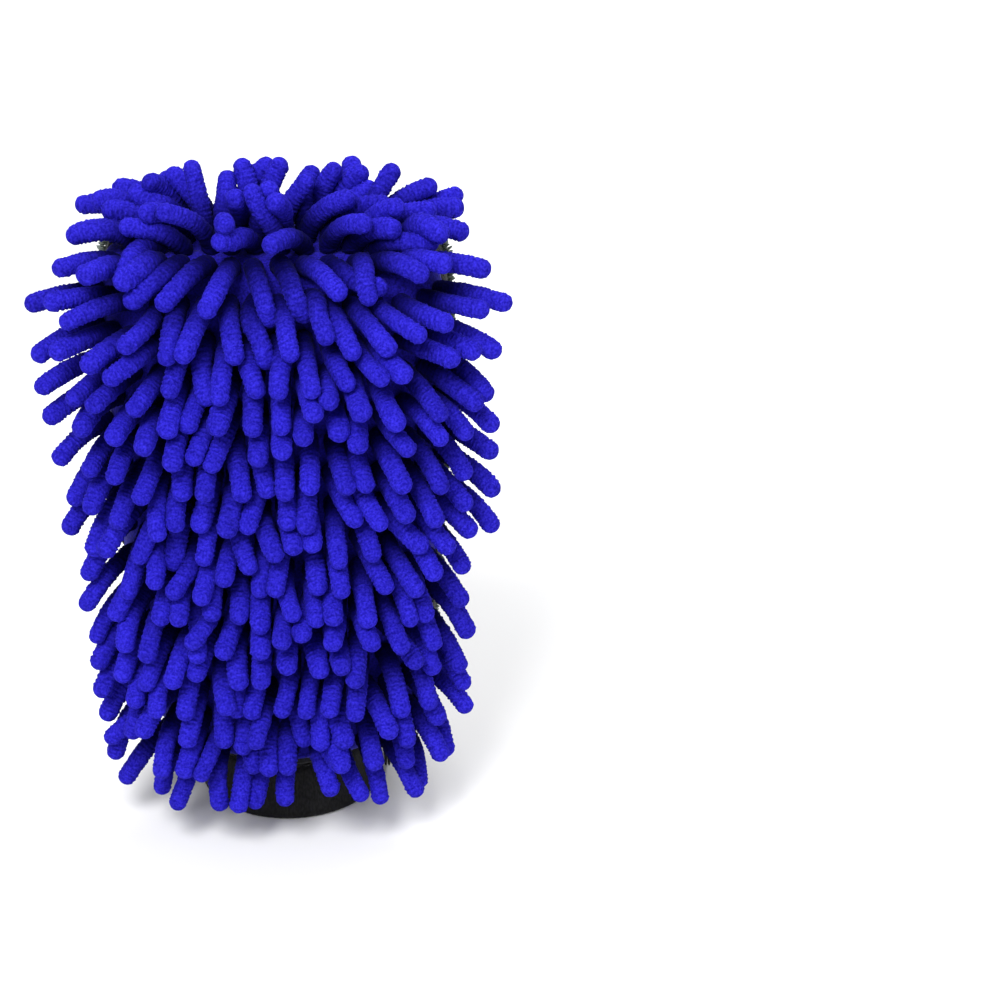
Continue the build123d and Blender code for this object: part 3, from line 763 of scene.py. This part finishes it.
def make_neck(material):
    """Pleated knit that joins the cuff to the body at the wrist."""
    around = np.linspace(0, 2 * math.pi, 288, endpoint=False)
    turn = np.linspace(0, 1, 22)
    z = NECK_CLOTH_LOW + (NECK_CLOTH_HIGH - NECK_CLOTH_LOW) * turn ** 0.7
    radius = NECK_CLOTH_RADIUS + (NECK_CLOTH_TOP_RADIUS - NECK_CLOTH_RADIUS) * turn ** 2
    pleats = np.sin(math.pi * np.clip(turn, 0, 1)) * 0.0005
    wave = np.sin(38 * around) + 0.5 * np.sin(23 * around + 0.8)
    grids = []
    for thick in (0.0, -0.0007):
        r = radius[:, None] + thick + pleats[:, None] * wave[None, :]
        grids.append(np.stack([r * np.cos(around), r * np.sin(around),
                               np.repeat(z[:, None] - thick * 0.6, len(around), 1)], -1))
    piece = closed_sheet("neck_cloth", grids[0], grids[1], material, wrap=True)
    place(piece, None, "cuff_knit", "neck_gather")
    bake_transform(piece)
    return piece


def make_elastic(material):
    """Corded elastic in the cuff's pocket."""
    around = np.linspace(0, 2 * math.pi, 240, endpoint=False)
    z = np.linspace(band_low.z, band_high.z, 40)
    cords = 0.00010 * np.cos(np.arange(40) * math.pi * 0.5)
    outer = revolved(ELASTIC_RADIUS + cords, z, around)
    inner = revolved(ELASTIC_BORE - cords, z, around)
    piece = closed_sheet("elastic_band", outer, inner, material, wrap=True)
    return place(piece, "cuff", "elastic", "cuff_elastic_band")


# --- thread ---------------------------------------------------------------------------
def stitch(start, end, lift, radius=THREAD_RADIUS):
    """One stitch: a short twisted thread whose ends dive into the cloth."""
    share = np.linspace(0, 1, 9)
    arch = np.sin(math.pi * share) ** 0.5 * 1.25 - 0.45
    line = start + (end - start) * share[:, None] + lift * (radius * arch)[:, None]
    angle = np.linspace(0, 2 * math.pi, 8, endpoint=False)
    twist = 1 + 0.14 * np.cos(2 * angle[None, :] + share[:, None] * 14)
    return tube(line, radius * twist, 8)


def seam_stitches(name, share, node, material):
    """Stitches up both sides of the body, beside a seam."""
    parts = []
    for side in (-1, 1):
        z = np.arange(SHOULDER_Z, CROWN_Z, STITCH_PITCH)
        reach = seam_reach(z, share)
        points = ring_point(z, side * reach, 0.0001)
        normals = surface_normals(points)
        for k in range(len(z) - 1):
            along = unit(points[k + 1] - points[k])
            parts.append(stitch(points[k], points[k] + along * STITCH_LENGTH, normals[k]))
    return place(many(name, parts, material), "mitt", "black_thread", node)


def make_threads(material):
    seam_stitches("front_seam_thread", FRONT_SEAM_SHARE - 0.03, "front_seam_stitching", material)
    seam_stitches("back_seam_thread", BACK_SEAM_SHARE - 0.05, "back_seam_stitching", material)
    low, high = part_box("top_seam_stitching")
    x = np.arange(low.x, high.x - STITCH_LENGTH / 2, STITCH_PITCH)
    y = (low.y + high.y) / 2
    up = np.array([0.0, 0.0, 1.0])
    parts = [stitch(np.array([a, y, TOP_Z]), np.array([a + STITCH_LENGTH, y, TOP_Z]), up) for a in x]
    place(many("top_seam_thread", parts, material), "mitt", "black_thread", "top_seam_stitching")
    parts = []
    step = 2 * math.pi / HEM_STITCHES
    for k in range(HEM_STITCHES):
        ends = np.array([k, k + 0.6]) * step
        radius = cuff_outer_radius(HEM_STITCH_Z) + gathers(HEM_STITCH_Z, ends) + 0.0001
        start, end = np.column_stack([radius * np.cos(ends), radius * np.sin(ends), [HEM_STITCH_Z] * 2])
        parts.append(stitch(start, end, unit((start + end) * (1, 1, 0))))
    place(many("hem_thread", parts, material), "cuff", "black_thread", "cuff_hem_stitching")


# --- hang loop ------------------------------------------------------------------------
def make_loop(webbing, thread):
    """Narrow webbing folded into a loop, with a bartack across its sewn end."""
    axis_x = 0.0379
    low, width = strap_low.z, strap_high.z - strap_low.z
    thick, sewn = 0.0011, 0.012
    half_eye = 0.0027 + thick / 2
    length = strap_high.y
    centre = length - half_eye - thick / 2
    ply = 0.0001 + thick / 2
    side = [(ply, y) for y in np.linspace(-0.0002, sewn, 12)]
    side += [(ply + (half_eye - ply) * eased(t), sewn + 0.006 * t) for t in np.linspace(0, 1, 9)[1:]]
    side += [(half_eye, y) for y in np.linspace(sewn + 0.006, centre, 16)[1:]]
    turns = np.linspace(0, math.pi, 17)[1:-1]
    bend = [(half_eye * math.cos(a), centre + half_eye * math.sin(a)) for a in turns]
    path = np.array(side + bend + [(-x, y) for x, y in side[::-1]])
    heading = unit(np.gradient(path, axis=0))
    normal = np.stack([heading[:, 1], -heading[:, 0]], -1)
    across = np.linspace(0, 1, 22)
    picks = 0.00005 * np.cos(np.arange(len(path))[:, None] * math.pi + np.arange(22)[None, :] * math.pi)
    round_edge = 1 - np.abs(2 * across - 1) ** 8 * 0.55
    grids = []
    for face in (1, -1):
        shift = face * (thick / 2 * round_edge[None, :] - 0.00002) + face * picks
        x = axis_x + path[:, None, 0] + normal[:, None, 0] * shift
        y = path[:, None, 1] + normal[:, None, 1] * shift
        z = np.repeat((low + width * across)[None, :], len(path), 0)
        grids.append(np.stack([x, y, z], -1))
    piece = closed_sheet("loop_webbing", grids[0], grids[1], webbing)
    place(piece, "hang_loop", "webbing", "hang_loop_strap")
    parts = []
    for face in (-1, 1):
        x = axis_x + face * (0.0001 + thick)
        for k in range(9):
            y = 0.005 + 0.00065 * k
            ends = (low + 0.001, low + width - 0.001)
            start, end = (ends if k % 2 else ends[::-1])
            parts.append(stitch(np.array([x, y, start]), np.array([x, y + 0.00065, end]),
                                np.array([float(face), 0, 0]), 0.0003))
    place(many("loop_bartack", parts, thread), "hang_loop", "black_thread", "hang_loop_bartack")


# --- materials ------------------------------------------------------------------------
def node_material(name, roughness, sheen=0.0, sheen_tint=(1, 1, 1), specular=0.15):
    """New material with its node tree and shader."""
    material = bpy.data.materials.new(name)
    material.use_nodes = True
    tree = material.node_tree
    shader = tree.nodes["Principled BSDF"]
    shader.inputs["Roughness"].default_value = roughness
    shader.inputs["Sheen Weight"].default_value = sheen
    shader.inputs["Sheen Roughness"].default_value = 0.4
    shader.inputs["Sheen Tint"].default_value = (*sheen_tint, 1)
    shader.inputs["Specular IOR Level"].default_value = specular
    return material, tree, shader


def noise_node(tree, scale, detail=2.0, stretch=(1, 1, 1)):
    """Noise in the object's own coordinates, which may be stretched along an axis."""
    coordinate = tree.nodes.new("ShaderNodeTexCoord")
    mapping = tree.nodes.new("ShaderNodeMapping")
    mapping.inputs["Scale"].default_value = stretch
    texture = tree.nodes.new("ShaderNodeTexNoise")
    texture.inputs["Scale"].default_value = scale
    texture.inputs["Detail"].default_value = detail
    tree.links.new(coordinate.outputs["Object"], mapping.inputs["Vector"])
    tree.links.new(mapping.outputs["Vector"], texture.inputs["Vector"])
    return texture


def two_tone(tree, fac, dark, light, low=0.35, high=0.65):
    """Colour that runs from dark to light with a value."""
    ramp = tree.nodes.new("ShaderNodeValToRGB")
    ramp.color_ramp.elements[0].position = low
    ramp.color_ramp.elements[1].position = high
    ramp.color_ramp.elements[0].color = (*dark, 1)
    ramp.color_ramp.elements[1].color = (*light, 1)
    tree.links.new(fac, ramp.inputs["Fac"])
    return ramp.outputs["Color"]


def mixed(tree, kind, fac, first, second):
    """Mix of two colours."""
    node = tree.nodes.new("ShaderNodeMix")
    node.data_type = "RGBA"
    node.blend_type = kind
    node.inputs[0].default_value = fac
    tree.links.new(first, node.inputs[6])
    tree.links.new(second, node.inputs[7])
    return node.outputs[2]


def bump(tree, shader, height, strength, distance):
    node = tree.nodes.new("ShaderNodeBump")
    node.inputs["Strength"].default_value = strength
    node.inputs["Distance"].default_value = distance
    tree.links.new(height, node.inputs["Height"])
    tree.links.new(node.outputs["Normal"], shader.inputs["Normal"])


def shade_and_tone_value(tree):
    node = tree.nodes.new("ShaderNodeAttribute")
    node.attribute_name = "shade_and_tone"
    return node.outputs["Fac"]


def chenille_material():
    material, tree, shader = node_material("chenille_pile", 1.0, 0.03, (0.25, 0.25, 1.0), 0.05)
    grain = noise_node(tree, 1200, 3)
    base = two_tone(tree, grain.outputs["Fac"], (0.012, 0.008, 0.33), (0.032, 0.024, 0.58), 0.36, 0.64)
    # painted shade read from the mesh's value per vertex, multiplied onto the pile's colour
    shade = two_tone(tree, shade_and_tone_value(tree), (0.05, 0.04, 0.10), (1, 1, 1), 0.05, 0.95)
    tree.links.new(mixed(tree, "MULTIPLY", 1.0, base, shade), shader.inputs["Base Color"])
    bump(tree, shader, grain.outputs["Fac"], 0.7, 0.0005)
    return material


def plush_material():
    material, tree, shader = node_material("plush_pile", 0.95, 0.25, (0.75, 0.85, 0.8))
    # the pile's colour runs dark to light with the mesh's value per vertex: painted shade in its hollows and
    # at the tufts' roots, and a random tone
    base = two_tone(tree, shade_and_tone_value(tree), (0.030, 0.037, 0.033), (0.19, 0.225, 0.20), 0.0, 1.0)
    # painted shade in soft patches, as where the pile leans different ways
    patches = noise_node(tree, 38, 3)
    shade = two_tone(tree, patches.outputs["Fac"], (0.62, 0.64, 0.62), (1, 1, 1), 0.35, 0.66)
    tree.links.new(mixed(tree, "MULTIPLY", 1.0, base, shade), shader.inputs["Base Color"])
    bump(tree, shader, noise_node(tree, 1400, 2).outputs["Fac"], 0.5, 0.0003)
    return material


def cloth_material(name, dark, light, scale, roughness=0.85, sheen=0.1, stretch=(1, 1, 1), strength=0.5):
    """Plain cloth: two tones and a bump from one fine grain."""
    material, tree, shader = node_material(name, roughness, sheen)
    grain = noise_node(tree, scale, 2, stretch)
    tree.links.new(two_tone(tree, grain.outputs["Fac"], dark, light), shader.inputs["Base Color"])
    bump(tree, shader, grain.outputs["Fac"], strength, 0.0003)
    return material


# --- stage, light and camera ----------------------------------------------------------
CAMERA_DISTANCE = 1.03
CAMERA_ELEVATION = math.radians(27)
CAMERA_AIM = np.array((0.0835, 0.0, 0.1215))
LENS = 97.0
FLOOR_HALF_SIZE = 3.0


def make_stage():
    """Pale plain floor and an even white surround."""
    material, tree, shader = node_material("floor_paint", 0.7)
    grain = noise_node(tree, 3, 2)
    tone = two_tone(tree, grain.outputs["Fac"], (0.90, 0.90, 0.91), (0.93, 0.93, 0.935))
    tree.links.new(tone, shader.inputs["Base Color"])
    s = FLOOR_HALF_SIZE
    floor = new_object("floor", np.array([(-s, -s, 0), (s, -s, 0), (s, s, 0), (-s, s, 0)]),
                       [np.array([(0, 1, 2, 3)])], material)
    world = bpy.data.worlds.new("studio")
    bpy.context.scene.world = world
    world.use_nodes = True
    background = world.node_tree.nodes["Background"]
    background.inputs["Color"].default_value = (1, 1, 1, 1)
    background.inputs["Strength"].default_value = 0.42


def area_light(name, position, power, size, aim=(0, 0, 0.1)):
    """Square soft box that faces the mitt, or another point."""
    data = bpy.data.lights.new(name, "AREA")
    data.energy = power
    data.size = size
    lamp = bpy.data.objects.new(name, data)
    lamp.location = position
    toward = Vector(aim) - Vector(position)
    lamp.rotation_euler = toward.to_track_quat("-Z", "Y").to_euler()
    bpy.context.scene.collection.objects.link(lamp)


def make_camera():
    data = bpy.data.cameras.new("camera")
    data.lens = LENS
    data.sensor_width = 36
    camera = bpy.data.objects.new("camera", data)
    away = np.array([0, -math.cos(CAMERA_ELEVATION), math.sin(CAMERA_ELEVATION)])
    camera.location = CAMERA_AIM + CAMERA_DISTANCE * away
    camera.rotation_euler = (math.pi / 2 - CAMERA_ELEVATION, 0, 0)
    bpy.context.scene.collection.objects.link(camera)
    bpy.context.scene.camera = camera


# --- build ----------------------------------------------------------------------------
thread = cloth_material("sewing_thread", (0.006, 0.006, 0.007), (0.035, 0.035, 0.038), 2600, 0.6)
knit = cloth_material("stretch_knit", (0.0035, 0.0035, 0.004), (0.012, 0.012, 0.013), 1500, 0.8,
                      0.08, (1, 1, 0.35))
make_chenille(chenille_material())
make_ground(cloth_material("blue_knit", (0.004, 0.002, 0.14), (0.014, 0.009, 0.36), 1300, 0.95, 0.1))
make_plush(plush_material())
mesh_black = cloth_material("spacer_mesh", (0.002, 0.002, 0.0025), (0.020, 0.020, 0.022), 1800, 0.75, 0.15)
for gusset_side in (-1, 1):
    make_gusset(gusset_side, mesh_black)
sponge = cloth_material("sponge", (0.35, 0.34, 0.30), (0.62, 0.60, 0.54), 1200, 0.95)
make_foam("front_foam", FRONT_SEAM_SHARE, "front_foam_pad", sponge)
make_foam("back_foam", BACK_SEAM_SHARE, "back_foam_pad", sponge)
make_cuff(knit)
make_elastic(cloth_material("corded_elastic", (0.01, 0.01, 0.01), (0.05, 0.05, 0.05), 2000, 0.7))
make_lining(cloth_material("coated_taffeta", (0.010, 0.011, 0.011), (0.03, 0.033, 0.032), 1500, 0.45, 0.0))
make_neck(knit)
make_threads(thread)
make_loop(cloth_material("woven_webbing", (0.006, 0.006, 0.007), (0.030, 0.030, 0.032), 2200, 0.7), thread)

make_stage()
area_light("key", (-0.35, -1.0, 1.4), 28, 0.7)
area_light("fill", (1.0, -1.3, 0.9), 5, 1.0)
area_light("background", (0.4, 1.0, 1.9), 34, 1.5, (0.4, 1.1, 0))
make_camera()
bpy.context.scene.view_settings.view_transform = "Standard"
